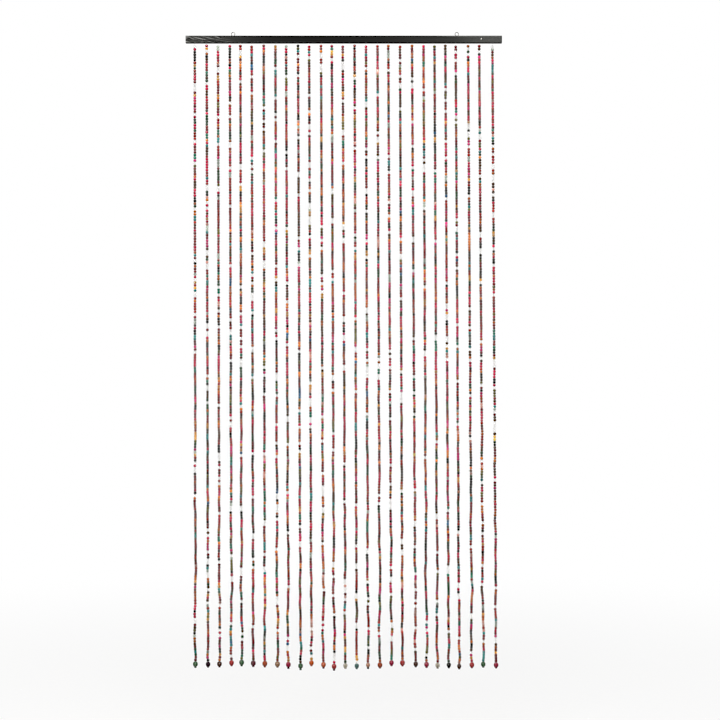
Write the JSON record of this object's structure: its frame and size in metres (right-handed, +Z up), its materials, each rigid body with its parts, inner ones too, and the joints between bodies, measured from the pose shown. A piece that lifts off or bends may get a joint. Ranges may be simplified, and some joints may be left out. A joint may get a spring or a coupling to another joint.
{
  "type": "bead curtain",
  "caption": "Doorway curtain of glossy multicoloured beads threaded on strings, each with a larger end bead, hanging from a dark painted wooden batten with wire screw eyes.",
  "frame": {"origin": "Middle of the batten's top face, halfway along it and halfway through its depth.", "axes": "+X runs along the batten, to the right as seen from the front. +Y points out of the curtain's back. +Z is up, so the strands hang down -Z."},
  "size_m": [0.9, 0.0158, 1.8198],
  "materials": {
    "batten_paint": "near-black paint, satin, thin enough for the grain to show",
    "eye_steel": "bent wire, dulled",
    "small_beads": "glossy beads of mixed colours, mostly dark reds, black and browns",
    "string": "thin clear nylon line",
    "bottle_green": "glossy",
    "aubergine": "glossy",
    "dark_brown": "glossy",
    "red": "glossy",
    "maroon": "glossy",
    "rust": "glossy",
    "tan": "glossy, pale amber",
    "crimson": "glossy",
    "orange": "glossy",
    "clear": "glossy, nearly clear",
    "teal": "glossy, pale and see-through",
    "peach": "glossy",
    "black": "glossy"
  },
  "bodies": {
    "root": {"batten": "batten_paint", "eye_left": "eye_steel", "eye_right": "eye_steel", "strand_01": "small_beads", "strand_02": "small_beads", "strand_03": "small_beads", "strand_04": "small_beads", "strand_05": "small_beads", "strand_06": "small_beads", "strand_07": "small_beads", "strand_08": "small_beads", "strand_09": "small_beads", "strand_10": "small_beads", "strand_11": "small_beads", "strand_12": "small_beads", "strand_13": "small_beads", "strand_14": "small_beads", "strand_15": "small_beads", "strand_16": "small_beads", "strand_17": "small_beads", "strand_18": "small_beads", "strand_19": "small_beads", "strand_20": "small_beads", "strand_21": "small_beads", "strand_22": "small_beads", "strand_23": "small_beads", "strand_24": "small_beads", "strand_25": "small_beads", "strand_26": "small_beads", "strand_27": "small_beads", "end_bead_01": "bottle_green", "end_bead_02": "aubergine", "end_bead_03": "dark_brown", "end_bead_04": "red", "end_bead_05": "bottle_green", "end_bead_06": "maroon", "end_bead_07": "rust", "end_bead_08": "tan", "end_bead_09": "crimson", "end_bead_10": "bottle_green", "end_bead_11": "orange", "end_bead_12": "orange", "end_bead_13": "red", "end_bead_14": "clear", "end_bead_15": "teal", "end_bead_16": "peach", "end_bead_17": "rust", "end_bead_18": "crimson", "end_bead_19": "red", "end_bead_20": "dark_brown", "end_bead_21": "crimson", "end_bead_22": "clear", "end_bead_23": "black", "end_bead_24": "dark_brown", "end_bead_25": "red", "end_bead_26": "bottle_green", "end_bead_27": "crimson"}
  },
  "joints": []
}
